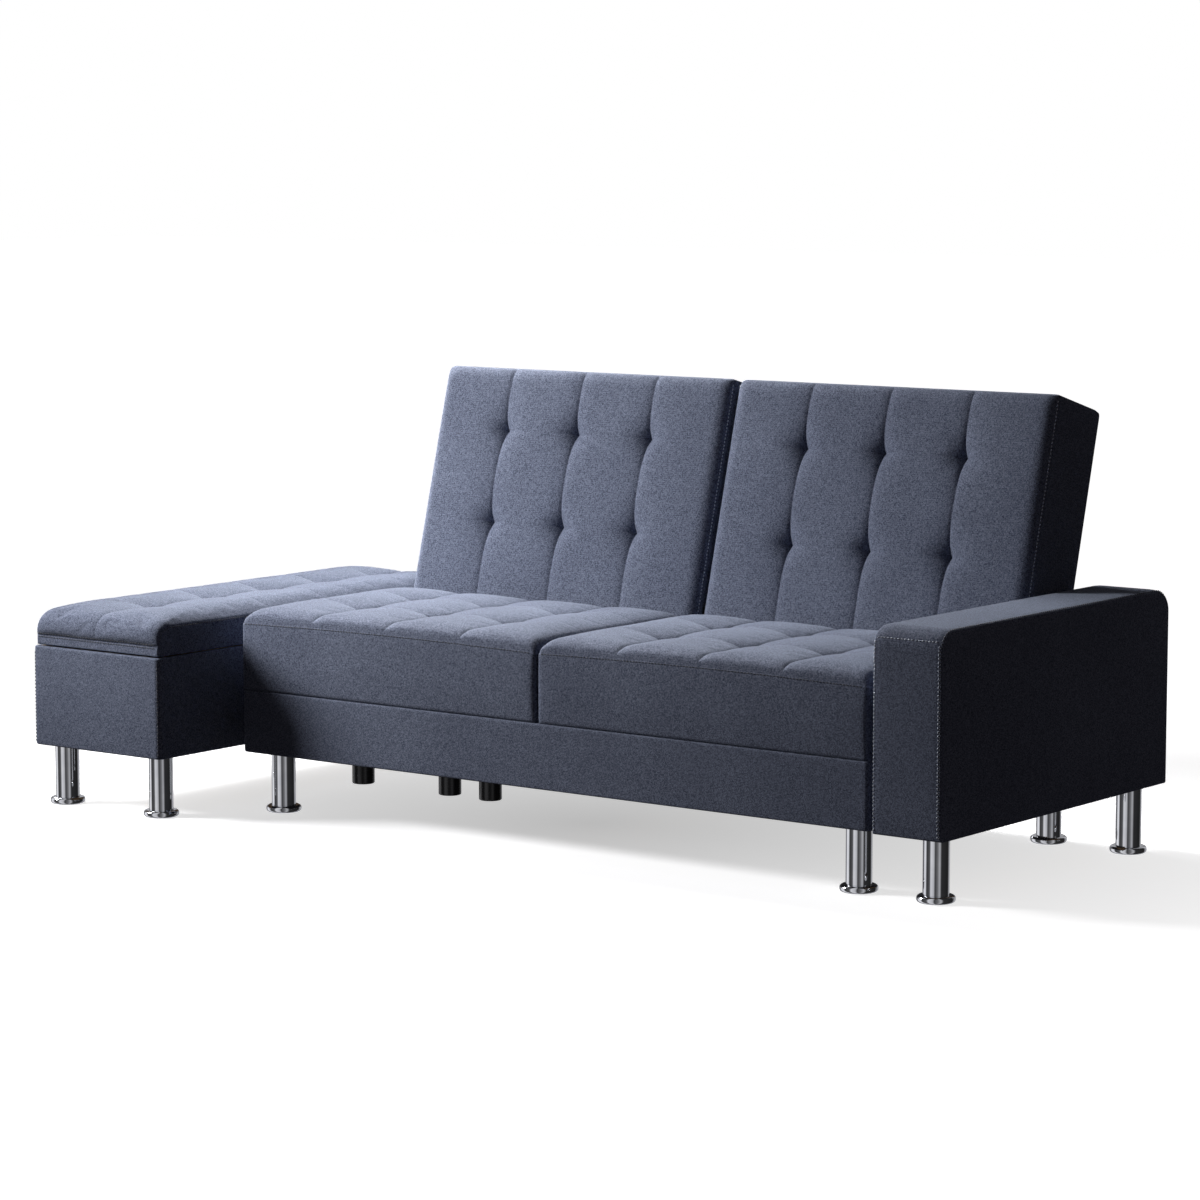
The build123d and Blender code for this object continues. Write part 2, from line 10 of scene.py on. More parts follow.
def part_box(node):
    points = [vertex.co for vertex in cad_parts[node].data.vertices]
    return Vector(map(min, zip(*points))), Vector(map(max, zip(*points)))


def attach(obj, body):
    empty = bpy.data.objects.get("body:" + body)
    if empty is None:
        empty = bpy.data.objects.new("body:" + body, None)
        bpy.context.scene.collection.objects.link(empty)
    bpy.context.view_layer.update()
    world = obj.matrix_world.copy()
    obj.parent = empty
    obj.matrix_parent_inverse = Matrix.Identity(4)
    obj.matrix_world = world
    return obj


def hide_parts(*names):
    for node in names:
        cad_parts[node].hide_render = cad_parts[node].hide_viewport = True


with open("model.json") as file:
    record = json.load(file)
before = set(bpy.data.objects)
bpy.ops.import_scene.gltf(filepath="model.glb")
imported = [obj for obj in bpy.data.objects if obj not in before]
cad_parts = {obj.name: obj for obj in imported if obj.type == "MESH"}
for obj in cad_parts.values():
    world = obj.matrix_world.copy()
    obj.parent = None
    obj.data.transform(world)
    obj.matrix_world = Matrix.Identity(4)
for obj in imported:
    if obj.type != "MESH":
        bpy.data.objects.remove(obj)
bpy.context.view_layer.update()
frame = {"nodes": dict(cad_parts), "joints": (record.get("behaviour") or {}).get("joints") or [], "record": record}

MM = 0.001

# ------------------------------------------------------------------ shared sizes, metres

TINY = 1e-6  # closer than this to a line counts as on it
CELL = 7 * MM  # widest gap between the grid lines of a pad
RIM_STEPS = (3 * MM, 8 * MM)  # grid lines that hold the edge of a pad
SEAM_STEPS = (5 * MM, 2 * MM)  # grid lines below the seam round a pad
SEAM_HALF = 2.2 * MM  # half the width of a sewn seam
SEAM_DIP = 2.6 * MM  # how far the seam round an edge is drawn in
BOARD_LIP = 1.5 * MM  # edge of a board that the cloth above it still covers
BOARD_BITE = 3 * MM  # how far the rest of the underside goes up into the board
OFF_SURFACE = 2 * MM  # how far outside a pad the paths of its stitches are drawn

STITCH_LENGTH = 5.0 * MM
STITCH_GAP = 2.4 * MM
STITCH_RADIUS = 1.25 * MM
STITCH_SIDES, STITCH_RINGS = 6, 5
STITCH_BOW, STITCH_SINK, STITCH_TIP = 1.3, 0.5, 0.55  # shares of the radius
STITCH_OFF_SEAM = 1.2 * MM


# ------------------------------------------------------------------ shader helpers

class Graph:
    """Short way to write the nodes of a material or a world."""

    def __init__(self, tree):
        self.tree = tree

    def add(self, kind, settings=(), **sockets):
        """New node. Underscores in the names of its inputs stand for spaces."""
        node = self.tree.nodes.new(kind)
        for key, value in dict(settings).items():
            setattr(node, key, value)
        self.fill(node, **sockets)
        return node

    def fill(self, node, **sockets):
        for key, value in sockets.items():
            self.put(node.inputs[key.replace("_", " ")], value)

    def put(self, socket, value):
        if isinstance(value, bpy.types.NodeSocket):
            self.tree.links.new(value, socket)
        else:
            socket.default_value = value

    def surface(self, **sockets):
        """Values of the material's own shader."""
        self.fill(self.tree.nodes["Principled BSDF"], **sockets)

    def math(self, operation, a, b):
        node = self.add("ShaderNodeMath", {"operation": operation})
        self.put(node.inputs[0], a)
        self.put(node.inputs[1], b)
        return node.outputs[0]

    def scaled(self, value, factor, offset):
        out = self.math("MULTIPLY_ADD", value, factor)
        out.node.inputs[2].default_value = offset
        return out

    def coordinates(self):
        return self.add("ShaderNodeTexCoord").outputs["Object"]

    def noise(self, vector, scale, detail=2.0, distortion=0.0):
        stretched = self.add("ShaderNodeMapping", Vector=vector, Scale=scale)
        made = self.add("ShaderNodeTexNoise", Vector=stretched.outputs[0], Scale=1.0,
                        Detail=detail, Distortion=distortion)
        return made.outputs["Fac"]

    def ramp(self, factor, *stops):
        node = self.add("ShaderNodeValToRGB", Fac=factor)
        elements = node.color_ramp.elements
        while len(elements) < len(stops):
            elements.new(0.5)
        for element, (position, colour) in zip(elements, stops):
            element.position = position
            element.color = (*colour, 1)
        return node.outputs["Color"]

    def multiply(self, a, b):
        """Product of two colours."""
        node = self.add("ShaderNodeMix", {"data_type": "RGBA", "blend_type": "MULTIPLY"})
        for socket, value in ((node.inputs[0], 1.0), (node.inputs[6], a), (node.inputs[7], b)):
            self.put(socket, value)
        return node.outputs[2]

    def bump(self, height, distance, strength):
        node = self.add("ShaderNodeBump", Height=height, Distance=distance, Strength=strength)
        return node.outputs["Normal"]

    def mix_shaders(self, factor, a, b):
        node = self.add("ShaderNodeMixShader")
        for socket, value in zip(node.inputs, (factor, a, b)):
            self.put(socket, value)
        return node.outputs[0]


def new_material(name):
    material = bpy.data.materials.new(name)
    material.use_nodes = True
    return material, Graph(material.node_tree)


YARN_WIDTH = 1.5 * MM
YARN_CROSSING = 2.3 * MM
WEFT_SCALE, WARP_SCALE = (400, 1000, 1000), (1000, 400, 400)
YARN_SHARE, WEAVE_SHARE, FLECK_SHARE, TONE_OFFSET = 0.60, 0.08, 0.095, 0.1125
NAP = (0.62, 0.70, 0.86, 1)
# Darker in hollows and creases, which is painted shade; lighter on ridges, which is edge wear.
PAINTED_CREASE_SHADE_AND_EDGE_WEAR = ((0.42, (0.72, 0.72, 0.75)), (0.5, (1.0, 1.0, 1.0)), (0.60, (1.22, 1.22, 1.20)))


def fabric(name, dark, light):
    """Plain weave of slubby two-tone yarn with a soft nap, painted shade in its creases and wear on its ridges."""
    material, g = new_material(name)
    where = g.coordinates()
    weft, warp = g.noise(where, WEFT_SCALE), g.noise(where, WARP_SCALE)
    yarn = g.math("MULTIPLY", g.math("ADD", weft, warp), 0.5)
    snapped = g.add("ShaderNodeVectorMath", {"operation": "SNAP"}, Vector=where)
    snapped.inputs[1].default_value = (YARN_CROSSING,) * 3
    flecks = g.add("ShaderNodeTexWhiteNoise", Vector=snapped.outputs[0]).outputs["Value"]
    turns = g.add("ShaderNodeVectorMath", {"operation": "SCALE"}, Vector=where,
                  Scale=math.pi / YARN_WIDTH)
    waves = g.add("ShaderNodeVectorMath", {"operation": "SINE"}, Vector=turns.outputs[0])
    x, y, z = g.add("ShaderNodeSeparateXYZ", Vector=waves.outputs[0]).outputs
    crossings = g.math("ADD", g.math("MULTIPLY", x, y), g.math("MULTIPLY", y, z))
    crossings = g.math("ADD", crossings, g.math("MULTIPLY", z, x))
    weave = g.scaled(crossings, 0.25, 0.5)
    tone = g.math("ADD", g.math("MULTIPLY", yarn, YARN_SHARE),
                  g.math("MULTIPLY", weave, WEAVE_SHARE))
    tone = g.math("ADD", tone, g.scaled(flecks, FLECK_SHARE, TONE_OFFSET))
    colour = g.ramp(tone, (0.42, dark), (0.58, light))
    patch = g.noise(where, (5, 5, 5))
    shade = g.ramp(patch, (0.3, (0.90, 0.90, 0.91)), (0.7, (1.08, 1.08, 1.07)))
    # Pointiness darkens the cloth in seams and creases as painted shade, and lightens its ridges as wear.
    edge = g.add("ShaderNodeNewGeometry").outputs["Pointiness"]
    painted_crease_shade_and_edge_wear = g.ramp(edge, *PAINTED_CREASE_SHADE_AND_EDGE_WEAR)
    relief = g.math("ADD", g.math("MULTIPLY", weave, 0.6), g.math("MULTIPLY", yarn, 0.9))
    g.surface(Base_Color=g.multiply(g.multiply(colour, shade), painted_crease_shade_and_edge_wear),
              Roughness=g.scaled(yarn, -0.2, 0.98), Specular_IOR_Level=0.12,
              Sheen_Weight=0.30, Sheen_Roughness=0.35, Sheen_Tint=NAP,
              Normal=g.bump(relief, 0.9 * MM, 0.6))
    return material


def thread_material(name, dark, light):
    """Twisted sewing thread."""
    material, g = new_material(name)
    twist = g.noise(g.coordinates(), (1500, 1500, 1500), detail=1.0)
    g.surface(Base_Color=g.ramp(twist, (0.35, dark), (0.7, light)), Roughness=0.55,
              Sheen_Weight=0.2, Normal=g.bump(twist, 0.2 * MM, 0.4))
    return material


def chrome_material():
    """Mirror plate with faint polishing marks and a little handling haze."""
    material, g = new_material("chrome")
    where = g.coordinates()
    marks = g.noise(where, (90, 90, 2600))
    haze = g.noise(where, (30, 30, 30), detail=3.0)
    rough = g.math("ADD", g.math("MULTIPLY", marks, 0.01), g.math("MULTIPLY", haze, 0.03))
    colour = g.ramp(haze, (0.35, (0.72, 0.73, 0.76)), (0.7, (0.82, 0.83, 0.85)))
    g.surface(Base_Color=colour, Metallic=1.0, Roughness=rough,
              Normal=g.bump(haze, 0.05 * MM, 0.1))
    return material


def plastic_material():
    """Glossy black moulded plastic with dust and fine scuffs."""
    material, g = new_material("black_plastic")
    where = g.coordinates()
    scuffs = g.noise(where, (60, 60, 900), detail=4.0)
    dust = g.noise(where, (25, 25, 12), detail=3.0)
    colour = g.ramp(dust, (0.4, (0.009, 0.009, 0.011)), (0.75, (0.028, 0.028, 0.032)))
    g.surface(Base_Color=colour, Roughness=g.scaled(scuffs, 0.25, 0.12))
    return material


def steel_material(name, dark, light, metallic, rough_low):
    """Plated or powder-coated steel with fine grain."""
    material, g = new_material(name)
    where = g.coordinates()
    grain = g.noise(where, (1100, 1100, 1100))
    stain = g.noise(where, (40, 40, 40), detail=3.0)
    g.surface(Base_Color=g.ramp(stain, (0.35, dark), (0.7, light)), Metallic=metallic,
              Roughness=g.scaled(stain, 0.2, rough_low), Normal=g.bump(grain, 0.08 * MM, 0.35))
    return material


def wood_material():
    """Raw pine and plywood: growth rings drawn out along the board."""
    material, g = new_material("wood")
    where = g.coordinates()
    warp = g.noise(where, (3, 14, 14), detail=3.0)
    rings = g.noise(where, (4, 130, 130), detail=4.0, distortion=0.6)
    pores = g.noise(where, (60, 1600, 1600))
    base = g.ramp(rings, (0.32, (0.47, 0.31, 0.17)), (0.68, (0.70, 0.52, 0.33)))
    shade = g.ramp(warp, (0.3, (0.86, 0.84, 0.80)), (0.7, (1.06, 1.05, 1.02)))
    g.surface(Base_Color=g.multiply(base, shade), Roughness=0.72,
              Normal=g.bump(g.math("ADD", rings, pores), 0.25 * MM, 0.4))
    return material


def lining_material():
    """Black non-woven cloth with its pressed dot grid."""
    material, g = new_material("lining")
    where = g.coordinates()
    fibres = g.noise(where, (700, 700, 700), detail=4.0)
    dots = g.add("ShaderNodeTexVoronoi", Vector=where, Scale=420.0, Randomness=0.0)
    relief = g.math("ADD", g.math("MULTIPLY", dots.outputs["Distance"], 0.6),
                    g.math("MULTIPLY", fibres, 0.5))
    colour = g.ramp(fibres, (0.35, (0.010, 0.010, 0.012)), (0.7, (0.045, 0.045, 0.052)))
    g.surface(Base_Color=colour, Roughness=0.9, Sheen_Weight=0.15,
              Normal=g.bump(relief, 0.4 * MM, 0.6))
    return material


CLOTH = fabric("slate_weave", (0.034, 0.041, 0.066), (0.176, 0.198, 0.272))
# One thread in two tones: the pale copy is painted as if lit, and the navy copy is painted as if in shade.
PAINTED_LIT_THREAD = thread_material("thread_painted_lit", (0.50, 0.55, 0.66), (0.80, 0.86, 0.96))
PAINTED_SHADED_THREAD = thread_material("thread_painted_shaded", (0.012, 0.014, 0.022), (0.050, 0.058, 0.085))
FINISHES = {
    "upholstery": CLOTH,
    "chrome_legs": chrome_material(),
    "black_plastic": plastic_material(),
    "black_steel": steel_material("black_steel", (0.016, 0.016, 0.018), (0.040, 0.040, 0.043),
                                  metallic=0.0, rough_low=0.38),
    "zinc_steel": steel_material("zinc_steel", (0.20, 0.20, 0.21), (0.34, 0.345, 0.36),
                                 metallic=1.0, rough_low=0.34),
    "wood": wood_material(),
    "lining": lining_material(),
}


# ------------------------------------------------------------------ mesh helpers

def spaced(stops):
    """Coordinates through every stop, evenly filled so that no gap exceeds a cell."""
    stops = sorted(set(round(s, 7) for s in stops))
    filled = []
    for low, high in zip(stops, stops[1:]):
        count = max(1, math.ceil((high - low) / CELL - TINY))
        filled += list(np.linspace(low, high, count, endpoint=False))
    return np.array(filled + [stops[-1]])


def rim_lines(span, steps):
    """Both ends of a span, and the given steps inwards from each."""
    return [0, *steps, *(span - s for s in steps), span]


def about(*seams):
    """Each seam with the two lines beside it that hold its dip."""
    return [s + k * SEAM_HALF for s in seams for k in (-1, 0, 1)]


def box_surface(xs, ys, zs):
    """Surface of a box as points on the given lines and outward quads."""
    outer = np.zeros((len(xs), len(ys), len(zs)), bool)
    outer[[0, -1]] = True
    outer[:, [0, -1]] = True
    outer[:, :, [0, -1]] = True
    index = np.full(outer.shape, -1)
    index[outer] = np.arange(outer.sum())
    i, j, k = np.nonzero(outer)
    quads = []
    for grid, flip in ((index[:, :, -1], 0), (index[:, :, 0], 1), (index[:, 0, :], 0),
                       (index[:, -1, :], 1), (index[0], 1), (index[-1], 0)):
        quad = np.stack([grid[:-1, :-1], grid[1:, :-1], grid[1:, 1:], grid[:-1, 1:]], -1)
        quad = quad.reshape(-1, 4)
        quads.append(quad[:, ::-1] if flip else quad)
    return np.stack([xs[i], ys[j], zs[k]], 1), np.concatenate(quads)


def board_lines(board, low, axis):
    """Grid lines at the edges of the board under a pad and just inside them."""
    start, end = (corner[axis] - low[axis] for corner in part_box(board))
    return [start, start + BOARD_LIP, end - BOARD_LIP, end]


def lift_off_board(points, board, low):
    """Moves the underside of a pad up into its board, so that the board is what shows."""
    start, end = (np.array(corner - low)[:2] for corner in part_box(board))
    inside = (points[:, :2] > start + BOARD_LIP / 2) & (points[:, :2] < end - BOARD_LIP / 2)
    points[inside.all(axis=1) & (points[:, 2] < TINY), 2] = BOARD_BITE


def round_corners(points, axes, low, high, radii):
    """Turns the corners of an outline into arcs, counted round it from its low corner."""
    a, b = points[:, axes[0]].copy(), points[:, axes[1]].copy()
    spots = ((0, 0), (1, 0), (1, 1), (0, 1))
    for (side_a, side_b), radius in zip(spots, radii):
        if not radius:
            continue
        centre_a = high[0] - radius if side_a else low[0] + radius
        centre_b = high[1] - radius if side_b else low[1] + radius
        da, db = a - centre_a, b - centre_b
        inside = (da * (1 if side_a else -1) > 0) & (db * (1 if side_b else -1) > 0)
        far = np.maximum(np.abs(da), np.abs(db))
        length = np.maximum(np.hypot(da, db), 1e-9)
        points[inside, axes[0]] = (centre_a + da * far / length)[inside]
        points[inside, axes[1]] = (centre_b + db * far / length)[inside]


def pinch_sides(points, x, wide, rim):
    """Draws in the seam on the left and right of a pad."""
    points[rim & (x < TINY), 0] += SEAM_DIP
    points[rim & (x > wide - TINY), 0] -= SEAM_DIP


def make_object(name, points, faces, material, body):
    """New smooth piece of upholstery that rides on a body."""
    mesh = bpy.data.meshes.new(name)
    mesh.from_pydata(points, [], faces)
    mesh.materials.append(material)
    mesh.shade_smooth()
    obj = bpy.data.objects.new(name, mesh)
    bpy.context.scene.collection.objects.link(obj)
    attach(obj, body)
    return obj


def subdivide(obj):
    """Smooths a finished mesh with one level of subdivision, applied."""
    modifier = obj.modifiers.new("smooth", "SUBSURF")
    modifier.levels = modifier.render_levels = 1
    graph = bpy.context.evaluated_depsgraph_get()
    made = bpy.data.meshes.new_from_object(obj.evaluated_get(graph))
    obj.modifiers.clear()
    obj.data = made
    made.shade_smooth()


def surface_of(obj):
    """Search tree over a finished mesh in the row frame."""
    points = [v.co.copy() for v in obj.data.vertices]
    return BVHTree.FromPolygons(points, [list(p.vertices) for p in obj.data.polygons])


def add_stitch(points, faces, placed):
    """One closed piece of thread that bows off the surface and thins at its ends."""
    tangent = (placed[-1][0] - placed[0][0]).normalized()
    start = len(points)
    for ring, (spot, normal, _, _) in enumerate(placed):
        bow = math.sin(math.pi * ring / (STITCH_RINGS - 1))
        side = tangent.cross(normal).normalized()
        up = side.cross(tangent).normalized()
        centre = spot + normal * STITCH_RADIUS * (STITCH_BOW * bow - STITCH_SINK)
        radius = STITCH_RADIUS * (STITCH_TIP + (1 - STITCH_TIP) * bow)
        for s in range(STITCH_SIDES):
            angle = 2 * math.pi * s / STITCH_SIDES
            points.append(centre + (side * math.cos(angle) + up * math.sin(angle)) * radius)
    last = len(points) - STITCH_SIDES
    for ring in range(start, last, STITCH_SIDES):
        for s in range(STITCH_SIDES):
            a, b = ring + s, ring + (s + 1) % STITCH_SIDES
            faces.append((a, b, b + STITCH_SIDES, a + STITCH_SIDES))
    faces.append(tuple(start + s for s in reversed(range(STITCH_SIDES))))
    faces.append(tuple(last + s for s in range(STITCH_SIDES)))


def stitches(name, paths, surface, body, thread):
    """Rows of separate thread stitches laid along paths on a surface."""
    pitch = STITCH_LENGTH + STITCH_GAP
    points, faces = [], []
    for path in paths:
        path = np.array(path, float)
        steps = np.linalg.norm(np.diff(path, axis=0), axis=1)
        along = np.concatenate([[0], np.cumsum(steps)])
        for n in range(int(along[-1] / pitch)):
            begin = n * pitch + STITCH_GAP / 2
            spread = begin + np.linspace(0, 1, STITCH_RINGS) * STITCH_LENGTH
            rings = np.column_stack([np.interp(spread, along, path[:, c]) for c in range(3)])
            placed = [surface.find_nearest(Vector(ring)) for ring in rings]
            if all(spot is not None for spot, *_ in placed):
                add_stitch(points, faces, placed)
    make_object(name, [tuple(p) for p in points], faces, thread, body)


# ------------------------------------------------------------------ padded shapes

def rise(distance, width):
    """Height of a rounded shoulder, 0 at the edge and 1 from width inwards."""
    t = np.clip(distance / width, 0, 1)
    return np.sqrt(1 - (1 - t) ** 2)


def valley(value, lines, power):
    """1 on each line, falling to 0 in the middle of a panel with steep walls at the line."""
    lines = np.array(lines)
    panel = np.clip(np.searchsorted(lines, value, side="right") - 1, 0, len(lines) - 2)
    low, high = lines[panel], lines[panel + 1]
    t = 2 * (value - low) / (high - low) - 1
    return 1 - np.sqrt(np.clip(1 - np.abs(t) ** power, 0, 1))


def nearest(value, lines):
    """Distance of each value from the nearest line."""
    return np.min([np.abs(value - line) for line in lines], axis=0)


class Quilt:
    """Tufted top: column seams, rows of tufts on them, and faint creases across."""

    SLOW_RISE = (130 * MM, 150 * MM)
    STEEP_SHARE = 0.74
    COLUMN_POWER, ROW_POWER = 4.0, 7.0
    CREASE_REACH = 42 * MM
    TUFT_POWER = 1.15
    FOLDS = ((7, 1.0), (11, 0.7))  # number of folds round a tuft, and their strength
    FOLD_HEIGHT, FOLD_NEAR, FOLD_FAR = 0.5 * MM, 12 * MM, 16 * MM
    THREAD_HOLD, TUFT_HOLD = 2.5 * MM, 9 * MM

    def __init__(self, size, columns, rows, crown, shoulder, seam, tuft, crease, seed):
        """seam: depth, extra depth at a tuft and its reach. tuft: depth, reach.
        crease: depth, extra depth at a tuft."""
        self.size, self.columns, self.rows = size, columns, rows
        self.crown, self.shoulder = crown, shoulder
        self.seam, self.tuft, self.crease = seam, tuft, crease
        self.tufts = [(x, y) for x in columns for y in rows]
        random = np.random.default_rng(seed)
        self.phases = random.uniform(0, 2 * math.pi, (len(self.tufts), len(self.FOLDS)))

    def height(self, x, y):
        """Height of the top above its seam."""
        wide, deep = self.size
        near_x = np.minimum(x, wide - x)
        near_y = np.minimum(y, deep - y)
        steep = rise(near_x, self.shoulder[0]) * rise(near_y, self.shoulder[1])
        slow = rise(near_x, self.SLOW_RISE[0]) * rise(near_y, self.SLOW_RISE[1])
        edge = self.STEEP_SHARE * steep + (1 - self.STEEP_SHARE) * slow
        depth, extra, reach = self.seam
        dips = depth + extra * np.exp(-(nearest(y, self.rows) / reach) ** 1.5)
        at_column = valley(x, [0, *self.columns, wide], self.COLUMN_POWER)
        fall = dips * at_column * (near_x > self.columns[0] / 2)
        depth, extra = self.crease
        folded = depth + extra * np.exp(-(nearest(x, self.columns) / self.CREASE_REACH) ** 2)
        at_row = valley(y, [0, *self.rows, deep], self.ROW_POWER)
        fall = fall + folded * at_row * (near_y > min(self.rows[0], deep - self.rows[-1]) / 2)
        for (tx, ty), phases in zip(self.tufts, self.phases):
            r, angle = np.hypot(x - tx, y - ty), np.arctan2(y - ty, x - tx)
            fall = fall + self.tuft[0] * np.exp(-(r / self.tuft[1]) ** self.TUFT_POWER)
            folds = sum(strength * np.cos(count * angle + phase)
                        for (count, strength), phase in zip(self.FOLDS, phases))
            fade = r / self.FOLD_NEAR * np.exp(-r / self.FOLD_FAR)
            fall = fall + self.FOLD_HEIGHT * folds * fade
        return self.crown * edge - fall * np.minimum(edge * 1.4, 1)

    def hold(self, x, y):
        """How firmly the thread holds each point of the top, 1 on the seams and tufts."""
        held = np.exp(-(nearest(x, self.columns) / self.THREAD_HOLD) ** 2)
        for tx, ty in self.tufts:
            held = np.maximum(held, np.exp(-(np.hypot(x - tx, y - ty) / self.TUFT_HOLD) ** 2))
        return held


SWELL_FRAMES = 20
SWELL_LIMIT = 22 * MM
STRIP_SWELL_LIMIT = 8 * MM
SWELLING_CLOTH = {
    "quality": 5, "mass": 0.3, "air_damping": 2.0, "tension_stiffness": 18.0,
    "compression_stiffness": 18.0, "shear_stiffness": 6.0, "bending_stiffness": 0.6,
    "tension_damping": 12.0, "compression_damping": 12.0, "use_pressure": True,
    "uniform_pressure_force": 4.0, "shrink_min": -0.004, "vertex_group_mass": "held",
    "pin_stiffness": 1.0,
}


def inflate(obj, held, limit):
    """Lets slightly oversize cloth swell under air pressure, then keeps the result."""
    group = obj.vertex_groups.new(name="held")
    levels = np.round(np.clip(held, 0, 1), 2)
    for level in np.unique(levels):
        group.add(np.nonzero(levels == level)[0].tolist(), float(level), "REPLACE")
    cloth = obj.modifiers.new("swell", "CLOTH")
    for key, value in SWELLING_CLOTH.items():
        setattr(cloth.settings, key, value)
    cloth.settings.effector_weights.gravity = 0
    cloth.collision_settings.use_collision = False
    cloth.point_cache.frame_start = 1
    cloth.point_cache.frame_end = SWELL_FRAMES
    before = np.empty(len(obj.data.vertices) * 3)
    after = np.empty_like(before)
    obj.data.vertices.foreach_get("co", before)
    for frame_number in range(1, SWELL_FRAMES + 1):
        bpy.context.scene.frame_set(frame_number)
    graph = bpy.context.evaluated_depsgraph_get()
    obj.evaluated_get(graph).data.vertices.foreach_get("co", after)
    obj.modifiers.remove(cloth)
    obj.vertex_groups.remove(group)
    move = (after - before).reshape(-1, 3)
    length = np.maximum(np.linalg.norm(move, axis=1), 1e-9)
    move *= (np.minimum(length, limit) / length)[:, None]
    obj.data.vertices.foreach_set("co", before + move.ravel())
    obj.data.update()
    bpy.context.scene.frame_set(1)


UNEVENNESS = 0.6 * MM
UNEVEN_FROM = 12 * MM


def soft_noise(points, seed, scale, amount):
    """Slow unevenness of hand-filled padding."""
    random = np.random.default_rng(seed)
    total = np.zeros(len(points))
    for _ in range(7):
        wave = random.normal(0, 1, 3) * scale
        total += np.sin(points @ wave + random.uniform(0, 2 * math.pi))
    return amount * total / 3


# ------------------------------------------------------------------ seats

SEAT_SEAM_DROP = 24 * MM
SEAT_SEAM_ARCH = 5 * MM
SEAT_ARCH_DEPTH = 60 * MM
SEAT_BULGE = 3.5 * MM
SEAT_FOOT_RADIUS = 8 * MM
SEAT_FOOT_STEPS = (3 * MM, 6 * MM, 9 * MM)
SEAT_CORNER = 10 * MM
SEAT_ROWS = (168 * MM, 345 * MM)
SEAT_SEEDS = {"left": 11, "right": 12}


def seat(side):
    """Seat pad: flat boxing below a stitched seam, and a tufted crowned top."""
    low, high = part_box(f"seat_cushion_{side}")
    wide, deep, tall = high - low
    seam = tall - SEAT_SEAM_DROP
    columns = [wide * k / 4 for k in (1, 2, 3)]
    deck = f"seat_deck_{side}"
    xs = spaced([*rim_lines(wide, RIM_STEPS), *board_lines(deck, low, 0), *about(*columns)])
    ys = spaced([*rim_lines(deep, RIM_STEPS), *board_lines(deck, low, 1), *about(*SEAT_ROWS)])
    zs = spaced([0, *SEAT_FOOT_STEPS, *(seam - s for s in SEAM_STEPS), seam])
    points, quads = box_surface(xs, ys, zs)
    quilt = Quilt((wide, deep), columns, SEAT_ROWS, crown=33 * MM, shoulder=(34 * MM, 40 * MM),
                  seam=(7 * MM, 5 * MM, 42 * MM), tuft=(10 * MM, 20 * MM),
                  crease=(0.8 * MM, 6 * MM), seed=SEAT_SEEDS[side])
    x, y, z = points.T.copy()
    on_top = z > seam - TINY
    inner = np.minimum.reduce([x, wide - x, y, deep - y])
    points[on_top, 2] += quilt.height(x, y)[on_top]
    uneven = on_top & (inner > UNEVEN_FROM)
    points[:, 2] += np.where(uneven, soft_noise(points, 5, 9, UNEVENNESS), 0)
    front = (y < TINY) & ~on_top
    bulge = SEAT_BULGE * np.sin(np.pi * z / seam) * rise(np.minimum(x, wide - x), 60 * MM)
    points[front, 1] -= bulge[front]
    arch = SEAT_SEAM_ARCH * np.sin(np.pi * x / wide) * (z / seam) ** 2
    points[:, 2] += arch * np.clip(1 - y / SEAT_ARCH_DEPTH, 0, 1)
    rim = (np.abs(z - seam) < TINY) & (inner < TINY)
    points[rim & (y < TINY), 1] += SEAM_DIP
    pinch_sides(points, x, wide, rim)
    round_corners(points, (0, 1), (0, 0), (wide, deep), (SEAT_CORNER,) * 4)
    round_corners(points, (1, 2), (0, 0), (deep, 9), (SEAT_FOOT_RADIUS, SEAT_FOOT_RADIUS, 0, 0))
    lift_off_board(points, deck, low)
    points += np.array(low)
    piece = make_object(f"seat_{side}", points.tolist(), quads.tolist(), CLOTH, "base")
    held = np.where(on_top & (inner > 2 * MM), quilt.hold(x, y), 1)
    inflate(piece, np.where(inner < 30 * MM, np.maximum(held, 0.3), held), SWELL_LIMIT)
    subdivide(piece)
    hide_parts(f"seat_cushion_{side}")
    height = low.z + seam - STITCH_OFF_SEAM
    path = [(low.x + t * wide, low.y - OFF_SURFACE, height + SEAT_SEAM_ARCH * math.sin(math.pi * t))
            for t in np.linspace(0.012, 0.988, 60)]
    stitches(f"seat_{side}_stitches", [path], surface_of(piece), "base", PAINTED_SHADED_THREAD)


# ------------------------------------------------------------------ backs

BACK_LEAN = math.radians(15)
BACK_SIDE_SEAM = 16 * MM
BACK_FOOT_LINE = 4 * MM
PANEL_PROUD = 1.5 * MM  # how far the rear panel stands out behind the pad
BACK_CORNERS = (6 * MM, 6 * MM, 11 * MM, 11 * MM)
BACK_EDGES = (4 * MM, 10 * MM, 0, 36 * MM)
BACK_TUFT_HEIGHTS = (203 * MM, 403 * MM)
BACK_SEAM_SHIFT = 8 * MM
BACK_STITCH_INSET, BACK_STITCH_RISE = 5 * MM, 4 * MM
BACK_SEEDS = {"left": 21, "right": 22}
NOTCH_DEPTH = 19.4 * MM
NOTCH_BEHIND_FACE = 28 * MM
NOTCH_ABOVE_HINGE = 70 * MM
NOTCH_WALL = 1 * MM
SWING_RADIUS = 73.2 * MM
SWING_BELOW = 45 * MM


def back_matrix(side):
    """Frame of a back: X along the sofa, Y up the lean and Z out of the face, from its hinge."""
    joint = next(j for j in frame["joints"] if j["name"] == f"back_{side}_recline")
    low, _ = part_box(f"back_cushion_{side}")
    turn = Matrix.Rotation(math.pi / 2 - BACK_LEAN, 4, "X")
    return Matrix.Translation((low.x, joint["pos_m"][1], joint["pos_m"][2])) @ turn


